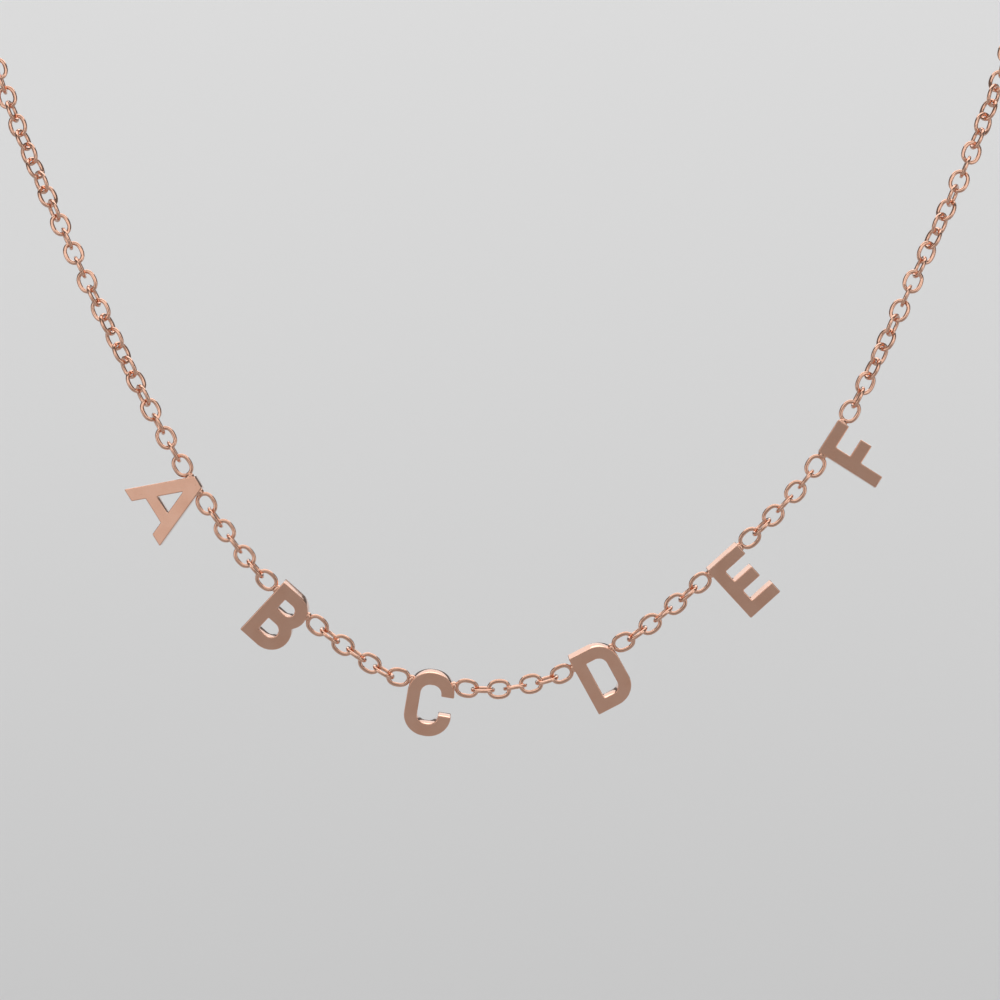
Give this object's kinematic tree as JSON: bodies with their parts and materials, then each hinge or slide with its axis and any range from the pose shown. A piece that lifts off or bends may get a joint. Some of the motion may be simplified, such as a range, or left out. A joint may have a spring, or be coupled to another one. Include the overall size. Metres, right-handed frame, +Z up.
{
  "type": "nameplate necklace",
  "caption": "Cable chain necklace with flat polished block letters soldered into its front, closed by a plain ring clasp at the nape.",
  "frame": {"origin": "nape of the neck, in the middle of the ring clasp where the necklace hangs", "axes": "+X to the right as the front is seen, +Y to the back of the neck, +Z up; the letters hang at -Y and below"},
  "size_m": [0.1082, 0.1014, 0.1072],
  "materials": {
    "letter_metal": "polished rose gold",
    "chain_metal": "polished rose gold",
    "clasp_metal": "polished rose gold"
  },
  "bodies": {
    "root": {"letter_a": "letter_metal", "letter_b": "letter_metal", "letter_c": "letter_metal", "letter_d": "letter_metal", "letter_e": "letter_metal", "letter_f": "letter_metal", "span_ab": "chain_metal", "span_bc": "chain_metal", "span_cd": "chain_metal", "span_de": "chain_metal", "span_ef": "chain_metal", "chain_left": "chain_metal", "chain_right": "chain_metal", "clasp": "clasp_metal"}
  },
  "joints": []
}
